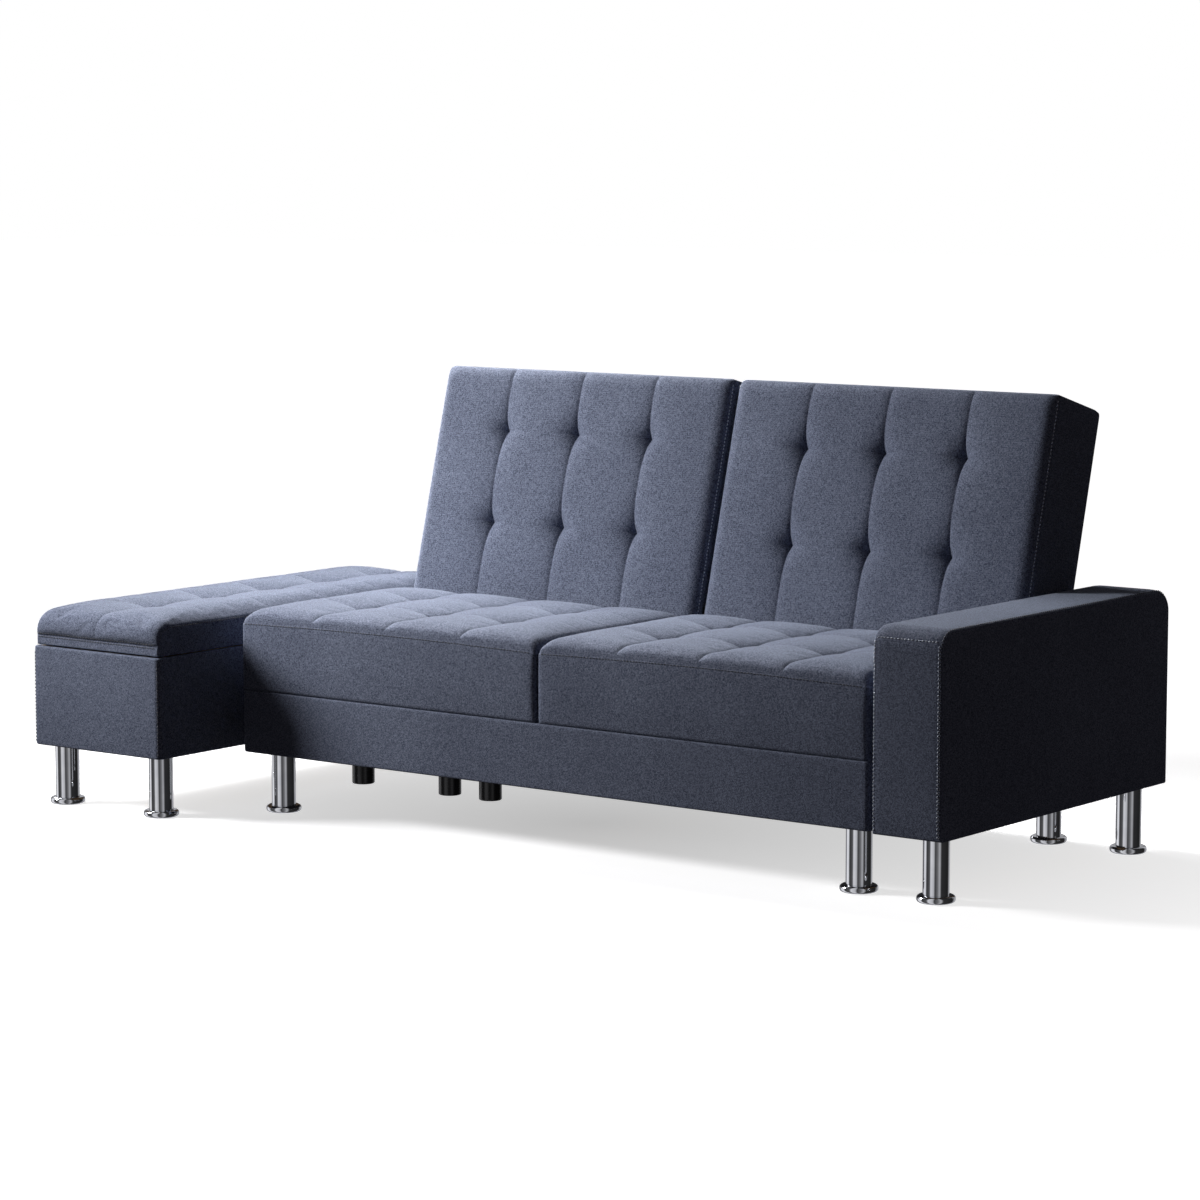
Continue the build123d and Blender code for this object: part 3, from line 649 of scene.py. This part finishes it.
def keep_swing_clear(piece, to_row):
    """Holds the lower front of a back inside the circle that clears the seat's rear edge."""
    to_back = to_row.inverted()
    for vertex in piece.data.vertices:
        spot = to_back @ vertex.co
        reach = math.hypot(min(spot.y, 0), spot.z)
        if 0 < spot.z and spot.y < SWING_BELOW and reach > SWING_RADIUS:
            share = SWING_RADIUS / reach
            kept_y = spot.y if spot.y > 0 else spot.y * share
            vertex.co = to_row @ Vector((spot.x, kept_y, spot.z * share))


def back(side):
    """Back pad: tufted face, flat boxing, notched at its lower ends for the hinges."""
    to_row = back_matrix(side)
    to_back = to_row.inverted()
    meshes = [frame["nodes"][f"{node}_{side}"].data for node in ("back_cushion", "back_panel")]
    spots = np.array([tuple(to_back @ v.co) for mesh in meshes for v in mesh.vertices])
    low, high = spots.min(0), spots.max(0)
    low[2] += PANEL_PROUD
    wide, tall, thick = high - low
    seam = thick - BACK_SIDE_SEAM
    columns = [wide * k / 4 for k in (1, 2, 3)]
    rows = [r - low[1] for r in BACK_TUFT_HEIGHTS]
    notch_top = NOTCH_ABOVE_HINGE - low[1]
    notch_front = thick - NOTCH_BEHIND_FACE
    xs = spaced([*rim_lines(wide, RIM_STEPS), *about(*columns)])
    ys = spaced([*rim_lines(tall, RIM_STEPS), notch_top, notch_top + NOTCH_WALL, *about(*rows)])
    zs = spaced([0, BACK_FOOT_LINE, notch_front, notch_front + NOTCH_WALL,
                 *(seam - s for s in SEAM_STEPS), seam])
    points, quads = box_surface(xs, ys, zs)
    x, y, z = points.T.copy()
    quilt = Quilt((wide, tall), columns, rows, crown=25 * MM, shoulder=(30 * MM, 30 * MM),
                  seam=(5 * MM, 9 * MM, 56 * MM), tuft=(14 * MM, 22 * MM),
                  crease=(0.4 * MM, 4.5 * MM), seed=BACK_SEEDS[side])
    on_top = z > seam - TINY
    inner = np.minimum.reduce([x, wide - x, y, tall - y])
    points[on_top, 2] += quilt.height(x, y)[on_top]
    uneven = on_top & (inner > UNEVEN_FROM)
    points[:, 2] += np.where(uneven, soft_noise(points, 6, 8, UNEVENNESS), 0)
    rim = (np.abs(z - seam) < TINY) & (inner < TINY)
    pinch_sides(points, x, wide, rim)
    points[rim & (y > tall - TINY), 1] -= SEAM_DIP
    round_corners(points, (0, 1), (0, 0), (wide, tall), BACK_CORNERS)
    round_corners(points, (1, 2), (0, 0), (tall, thick), BACK_EDGES)
    in_notch = (y < notch_top + NOTCH_WALL / 2) & (z < notch_front + NOTCH_WALL / 2)
    points[in_notch, 0] = np.clip(points[in_notch, 0], NOTCH_DEPTH, wide - NOTCH_DEPTH)
    points += low
    drift = BACK_SEAM_SHIFT * np.sin(np.pi * y / tall) * np.sin(np.pi * np.clip(x / wide, 0, 1))
    points[:, 0] -= drift
    points = [tuple(to_row @ Vector(p)) for p in points]
    piece = make_object(f"back_{side}", points, quads.tolist(), CLOTH, f"back_{side}")
    subdivide(piece)
    keep_swing_clear(piece, to_row)
    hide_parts(f"back_cushion_{side}", f"back_stiles_{side}", f"back_rails_{side}")
    height = low[2] + seam + BACK_STITCH_RISE
    paths = [[tuple(to_row @ Vector((low[0] + end, low[1] + t * tall, height)))
              for t in np.linspace(0.1, 0.985, 80)]
             for end in (BACK_STITCH_INSET, wide - BACK_STITCH_INSET)]
    stitches(f"back_{side}_stitches", paths, surface_of(piece), f"back_{side}", PAINTED_LIT_THREAD)


# ------------------------------------------------------------------ arm, lid

STRIP_STEPS = (2 * MM, 5 * MM, 9 * MM)
STRIP_CORNER = 3 * MM


def along_profile(y, z, deep, high, radius_front, radius_rear, start):
    """Distance along a strip from its front seam, over the top, and its outward direction."""
    front_arc, rear_arc = radius_front * math.pi / 2, radius_rear * math.pi / 2
    front_run = high - radius_front - start
    top_run = deep - radius_front - radius_rear
    past_top = front_run + front_arc + top_run
    total = past_top + rear_arc + high - radius_rear - start
    s, ny, nz = np.zeros((3, len(y)))
    in_front, in_rear = y < radius_front, y > deep - radius_rear
    above_front, above_rear = z > high - radius_front, z > high - radius_rear
    zone = in_front & ~above_front
    s[zone], ny[zone] = (z - start)[zone], -1
    zone = in_front & above_front
    angle = np.arctan2(z - (high - radius_front), radius_front - y)
    s[zone] = (front_run + radius_front * angle)[zone]
    ny[zone], nz[zone] = -np.cos(angle)[zone], np.sin(angle)[zone]
    zone = ~in_front & ~in_rear
    s[zone], nz[zone] = (front_run + front_arc + y - radius_front)[zone], 1
    zone = in_rear & above_rear
    angle = np.arctan2(y - (deep - radius_rear), z - (high - radius_rear))
    s[zone] = (past_top + radius_rear * angle)[zone]
    ny[zone], nz[zone] = np.sin(angle)[zone], np.cos(angle)[zone]
    zone = in_rear & ~above_rear
    s[zone] = (past_top + rear_arc + high - radius_rear - z)[zone]
    ny[zone] = 1
    return s, ny, nz, total


def wrapped_strip(name, node, board, body, radii, crown, lift_of, share_front, foot,
                  columns=(), rows=(), start=0.0):
    """Upholstered box whose top strip wraps down over a rounded front and rear."""
    radius_front, radius_rear = radii
    low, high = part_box(node)
    wide, deep, tall = high - low
    top = tall - crown
    xs = spaced([*rim_lines(wide, STRIP_STEPS), *board_lines(board, low, 0), *about(*columns)])
    ys = spaced([*rim_lines(deep, (STRIP_CORNER,)), *board_lines(board, low, 1), *about(*rows)])
    zs = spaced([0, 2 * MM, foot, *(about(start) if start else []), top])
    points, quads = box_surface(xs, ys, zs)
    flat_end = (points[:, 0] < TINY) | (points[:, 0] > wide - TINY)
    inner = (points[:, 1] > TINY) & (points[:, 1] < deep - TINY) & (points[:, 2] < top - TINY)
    still = (flat_end & inner) | (points[:, 2] < start - TINY) | (points[:, 2] < TINY)
    at_start = np.abs(points[:, 2] - start) < TINY
    round_corners(points, (1, 2), (0, 0), (deep, top), (foot, foot, radius_rear, radius_front))
    x, y, z = points.T.copy()
    s, ny, nz, total = along_profile(y, z, deep, top, radius_front, radius_rear, start)
    lift, held = lift_of(x, s, wide, total)
    lift = lift * (share_front + (1 - share_front) * nz)
    lift[still] = 0
    if start:
        lift[at_start & ~flat_end] = -SEAM_DIP
    points[:, 1] += ny * lift
    points[:, 2] += nz * lift
    round_corners(points, (0, 1), (0, 0), (wide, deep), (STRIP_CORNER,) * 4)
    lift_off_board(points, board, low)
    points += np.array(low)
    piece = make_object(name, points.tolist(), quads.tolist(), CLOTH, body)
    inflate(piece, np.where(still | flat_end | at_start, 1, held), STRIP_SWELL_LIMIT)
    subdivide(piece)
    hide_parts(node)
    return piece, low, Vector((wide, deep, tall)), top


def side_seam_path(low, deep, seam, x, radii, inset, bottom):
    """Path round a side panel, inset from its edge: up the front, along the top, down the rear."""
    front, rear = radii
    turns = np.linspace(0, math.pi / 2, 14)[1:]
    path = [(inset, z) for z in np.linspace(bottom, seam - front, 12)]
    path += [(front - (front - inset) * math.cos(t), seam - front + (front - inset) * math.sin(t))
             for t in turns]
    path += [(y, seam - inset) for y in np.linspace(front, deep - rear, 40)[1:]]
    path += [(deep - rear + (rear - inset) * math.sin(t), seam - rear + (rear - inset) * math.cos(t))
             for t in turns]
    path += [(deep - inset, z) for z in np.linspace(seam - rear, bottom, 12)[1:]]
    return [(x, low.y + y, low.z + z) for y, z in path]


ARM_RADII = (38 * MM, 46 * MM)
ARM_CROWN = 5 * MM
ARM_FOOT = 4 * MM
ARM_CROSS_SEAM = 14 * MM
ARM_OUTER_ROW, ARM_OUTER_OVER = 4.5 * MM, 3 * MM
ARM_INNER_ROW = 4 * MM
ARM_FRONT_ROWS = (3.5 * MM, 8.5 * MM)  # in from the inner and the outer edge


def arm_lift(x, s, wide, total):
    """Slight crown of the arm's strip, and how firmly it is held."""
    near = np.minimum(x, wide - x)
    ends = rise(np.minimum(s, total - s), 60 * MM)
    return ARM_CROWN * rise(near, 24 * MM) * ends, np.where(near < 14 * MM, 1, 0.6)


def arm():
    """Arm: one strip over its top, stitched round both sides and across its front."""
    piece, low, size, top = wrapped_strip("arm", "arm_cover", "arm_base_board", "base",
                                          ARM_RADII, ARM_CROWN, arm_lift, 0.6, ARM_FOOT)
    surface = surface_of(piece)
    outer, inner = low.x + size.x - ARM_OUTER_ROW, low.x - OFF_SURFACE
    paths = [side_seam_path(low, size.y, top, outer, ARM_RADII, -ARM_OUTER_OVER, ARM_FOOT),
             side_seam_path(low, size.y, top, inner, ARM_RADII, ARM_INNER_ROW, ARM_FOOT)]
    stitches("arm_stitches", paths, surface, "base", PAINTED_SHADED_THREAD)
    cross = low.z + top - ARM_CROSS_SEAM
    paths = [[(low.x + t * size.x, low.y - 4 * MM, cross) for t in np.linspace(0.03, 0.95, 20)]]
    for edge in (low.x + ARM_FRONT_ROWS[0], low.x + size.x - ARM_FRONT_ROWS[1]):
        paths.append([(edge, low.y - OFF_SURFACE, z)
                      for z in np.linspace(low.z + 6 * MM, cross, 60)])
    stitches("arm_front_stitches", paths, surface, "base", PAINTED_LIT_THREAD)


LID_CROWN = 17 * MM
LID_BAND = 22 * MM
LID_RADIUS = 38 * MM
LID_FOOT = 3 * MM
LID_TUFTS = (167 * MM, 349 * MM, 531 * MM, 713 * MM, 895 * MM)
LID_SIDE_ROW = 3 * MM
LID_FRONT_ROWS = (STITCH_OFF_SEAM, -4 * MM)  # above the seam of the band


def lid():
    """Lid pad: a tufted strip over its top, above a plain band."""
    low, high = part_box("lid_cushion")
    wide, deep, tall = high - low
    before_top = tall - LID_CROWN - LID_RADIUS - LID_BAND + LID_RADIUS * (math.pi / 2 - 1)
    quilt = Quilt((wide, 2 * before_top + deep), [wide / 2], [before_top + y for y in LID_TUFTS],
                  crown=18 * MM, shoulder=(34 * MM, 30 * MM), seam=(4 * MM, 5 * MM, 40 * MM),
                  tuft=(8 * MM, 19 * MM), crease=(0.4 * MM, 4 * MM), seed=31)

    def lift_of(x, s, wide, total):
        return quilt.height(x, s), quilt.hold(x, s)

    radii = (LID_RADIUS, LID_RADIUS)
    piece, low, size, top = wrapped_strip("lid", "lid_cushion", "lid_board", "bench_lid", radii,
                                          LID_CROWN, lift_of, 0.42, LID_FOOT, quilt.columns,
                                          LID_TUFTS, LID_BAND)
    paths = [side_seam_path(low, size.y, top, x, radii, LID_SIDE_ROW, LID_BAND)
             for x in (low.x + size.x + OFF_SURFACE, low.x - OFF_SURFACE)]
    for above in LID_FRONT_ROWS:
        paths.append([(low.x + t * wide, low.y - 3 * MM, low.z + LID_BAND + above)
                      for t in np.linspace(0.01, 0.99, 30)])
    stitches("lid_stitches", paths, surface_of(piece), "bench_lid", PAINTED_SHADED_THREAD)


# ------------------------------------------------------------------ bands around boxes

PROUD = 0.6 * MM  # how far a band stands above and below its boards
BAND_EDGE = 4 * MM
BAND_STEP = 9 * MM
BAND_TUCK = 12 * MM
REAR_RAIL_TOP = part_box("rear_rail")[1].z
FRONT_RAIL_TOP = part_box("front_rail")[1].z
BENCH_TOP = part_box("bench_cover")[1].z
SEAT_SUPPORT_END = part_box("base_cover")[0].y + 505 * MM
STEP_WIDTH = 16 * MM


def outline(low, high, radius):
    """Rounded rectangle in plan: points and outward directions."""
    centres = ((high.x - radius, low.y + radius, -90), (high.x - radius, high.y - radius, 0),
               (low.x + radius, high.y - radius, 90), (low.x + radius, low.y + radius, 180))
    spots, outs = [], []
    for n, (cx, cy, start) in enumerate(centres):
        for angle in np.radians(np.linspace(start, start + 90, 7)):
            outs.append((math.cos(angle), math.sin(angle)))
            spots.append((cx + radius * outs[-1][0], cy + radius * outs[-1][1]))
        nx, ny, _ = centres[(n + 1) % 4]
        begin, out = spots[-1], outs[-1]
        end = (nx + radius * out[0], ny + radius * out[1])
        count = max(2, int(math.dist(begin, end) / BAND_STEP))
        for k in range(1, count):
            t = k / count
            spots.append((begin[0] + t * (end[0] - begin[0]), begin[1] + t * (end[1] - begin[1])))
            outs.append(out)
    return np.array(spots), np.array(outs)


def band(name, node, body, radius, turn_in, top_of):
    """Fabric stretched round a box of boards and folded over its top and bottom edges."""
    low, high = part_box(node)
    spots, outs = outline(low, high, radius)
    bottom = low.z - PROUD
    tops = np.array([top_of(y) for _, y in spots]) + PROUD
    arc = np.radians(np.linspace(90, 0, 5))
    # Each ring: its offset outwards, its shift upwards and its share of the height.
    profile = [(-turn_in, 0, 0)]
    profile += [(BAND_EDGE * (math.cos(a) - 1), BAND_EDGE * (1 - math.sin(a)), 0) for a in arc]
    profile += [(0, 0, t) for t in np.linspace(0, 1, 16)[1:-1]]
    profile += [(BAND_EDGE * (math.cos(a) - 1), BAND_EDGE * (math.sin(a) - 1), 1) for a in arc[::-1]]
    profile += [(-turn_in, 0, 1), (-turn_in, -BAND_TUCK, 1)]
    rings = []
    for offset, shift, share in profile:
        wall = bottom + BAND_EDGE + share * (tops - bottom - 2 * BAND_EDGE)
        z = np.where(share >= 1, tops, np.where(share <= 0, bottom, wall)) + shift
        rings.append(np.column_stack([spots + outs * offset, z]))
    count = len(spots)
    points = np.concatenate(rings)
    points[:, :2] += np.tile(outs, (len(rings), 1)) * soft_noise(points, 8, 7, 0.35 * MM)[:, None]
    faces = []
    for start in range(0, count * (len(rings) - 1), count):
        for i in range(count):
            j = (i + 1) % count
            faces.append((start + i, start + j, start + count + j, start + count + i))
    piece = make_object(name, points.tolist(), faces, CLOTH, body)
    subdivide(piece)
    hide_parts(node)
    return piece, low, high


def base_top(y):
    """Top of the band of the base, which steps down behind the seats."""
    t = np.clip((y - SEAT_SUPPORT_END + STEP_WIDTH / 2) / STEP_WIDTH, 0, 1)
    return FRONT_RAIL_TOP + (REAR_RAIL_TOP - FRONT_RAIL_TOP) * t * t * (3 - 2 * t)


def bench_top(y):
    return BENCH_TOP


def bench_stitches(piece, low, high):
    """Seam down each corner of the bench."""
    heights = np.linspace(low.z + 5 * MM, high.z - 4 * MM, 40)
    paths = [[(x, y, z) for z in heights]
             for x in (high.x - 6 * MM, low.x + 6 * MM) for y in (low.y, high.y)]
    stitches("bench_stitches", paths, surface_of(piece), "bench", PAINTED_SHADED_THREAD)


# ------------------------------------------------------------------ CAD nodes that stay

def finish_nodes():
    """Materials of the pieces that keep their CAD shape."""
    for part in frame["record"]["subparts"]:
        mesh = frame["nodes"][part["node"]].data
        mesh.materials.clear()
        mesh.materials.append(FINISHES[part["material_slot"]])


# ------------------------------------------------------------------ studio

CAMERA_PLACE = (4.79235, -6.29341, 1.419)
CAMERA_DOWN, CAMERA_TURN = 6.917, 37.122  # degrees
LENS, SENSOR = 117.914, 36  # millimetres

# Upright panels that fade into each other: place round the room from 0 to 1, brightness.
ROOM_PANELS = ((0.0, 0.5), (0.10, 0.12), (0.15, 0.9), (0.21, 0.8), (0.24, 0.04), (0.33, 0.10),
               (0.36, 0.75), (0.43, 0.55), (0.46, 0.05), (0.52, 0.16), (0.57, 0.45), (0.61, 0.03),
               (0.82, 0.015), (0.90, 0.6), (0.95, 0.15), (1.0, 0.5))
ROOM_TURN = 52.7  # degrees
PANEL_BLUE = 1.04
AMBIENT = (1.0, 0.90, 0.93, 1)
AMBIENT_STRENGTH = 0.05

# Name, place, aim, radius of the source, full angle in degrees, share of it that fades, watts.
SPOTS = (("overhead", (-1.9, 0.9, 2.5), (-0.2, 0.0, 0.4), 0.6, 44, 0.5, 690),
         ("rim", (-2.9, 1.2, 1.5), (0.0, 0.0, 0.4), 0.5, 60, 1.0, 150),
         ("key", (-2.5, -1.5, 1.65), (-0.35, 0.2, 0.75), 0.5, 66, 1.0, 650))

WHITE = (1, 1, 1, 1)
FLOOR_SIZE = 60
FLOOR_GLOW, FLOOR_GLOW_GROWTH = 0.48, 0.24


def lay_floor():
    """Pale floor that glows more with distance, until it is as white as the background."""
    bpy.ops.mesh.primitive_plane_add(size=FLOOR_SIZE)
    floor = bpy.context.object
    floor.name = "floor"
    material, g = new_material("floor")
    far = g.add("ShaderNodeVectorMath", {"operation": "LENGTH"}, Vector=g.coordinates())
    glow = g.scaled(far.outputs["Value"], FLOOR_GLOW_GROWTH, FLOOR_GLOW)
    g.surface(Base_Color=(0.80, 0.80, 0.81, 1), Roughness=0.9, Emission_Color=WHITE,
              Emission_Strength=g.math("MINIMUM", glow, 1.0))
    floor.data.materials.append(material)
    floor.visible_diffuse = False
    floor.visible_glossy = False


def room_panels(g):
    """Upright light and dark panels round the studio, which the chrome reflects."""
    where = g.add("ShaderNodeTexCoord").outputs["Generated"]
    turned = g.add("ShaderNodeVectorRotate", {"rotation_type": "Z_AXIS"}, Vector=where,
                   Angle=math.radians(ROOM_TURN))
    x, y, _ = g.add("ShaderNodeSeparateXYZ", Vector=turned.outputs[0]).outputs
    around = g.scaled(g.math("ARCTAN2", y, x), 0.5 / math.pi, 0.5)
    return g.ramp(around, *((place, (level, level, level * PANEL_BLUE))
                            for place, level in ROOM_PANELS))


def make_world():
    """White to the camera, panels in reflections, and a dim tint for everything else."""
    world = bpy.data.worlds.new("studio")
    bpy.context.scene.world = world
    world.use_nodes = True
    g = Graph(world.node_tree)
    ambient = g.tree.nodes["Background"]
    g.fill(ambient, Color=AMBIENT, Strength=AMBIENT_STRENGTH)
    room = g.add("ShaderNodeBackground", Color=room_panels(g))
    white = g.add("ShaderNodeBackground", Color=WHITE)
    ray = g.add("ShaderNodeLightPath").outputs
    unseen = g.mix_shaders(ray["Is Glossy Ray"], ambient.outputs[0], room.outputs[0])
    seen = g.mix_shaders(ray["Is Camera Ray"], unseen, white.outputs[0])
    g.put(g.tree.nodes["World Output"].inputs["Surface"], seen)


def hang_lights():
    """Soft-edged lamps above, behind and in front, all from the left."""
    for name, place, aim, radius, angle, blend, power in SPOTS:
        light = bpy.data.lights.new(name, "SPOT")
        light.shadow_soft_size = radius
        light.spot_size = math.radians(angle)
        light.spot_blend = blend
        light.energy = power
        lamp = bpy.data.objects.new(name, light)
        bpy.context.scene.collection.objects.link(lamp)
        lamp.location = place
        lamp.rotation_euler = (Vector(aim) - Vector(place)).to_track_quat("-Z", "Y").to_euler()


def place_camera():
    scene = bpy.context.scene
    camera = bpy.data.cameras.new("camera")
    camera.lens = LENS
    camera.sensor_width = SENSOR
    viewer = bpy.data.objects.new("camera", camera)
    scene.collection.objects.link(viewer)
    viewer.location = CAMERA_PLACE
    viewer.rotation_euler = (math.radians(90 - CAMERA_DOWN), 0, math.radians(CAMERA_TURN))
    scene.camera = viewer
    scene.view_settings.view_transform = "Standard"


finish_nodes()
for side in ("left", "right"):
    seat(side)
    back(side)
arm()
lid()
band("base_band", "base_cover", "base", 12 * MM, 20 * MM, base_top)
bench_stitches(*band("bench_band", "bench_cover", "bench", 14 * MM, 19 * MM, bench_top))
lay_floor()
make_world()
hang_lights()
place_camera()
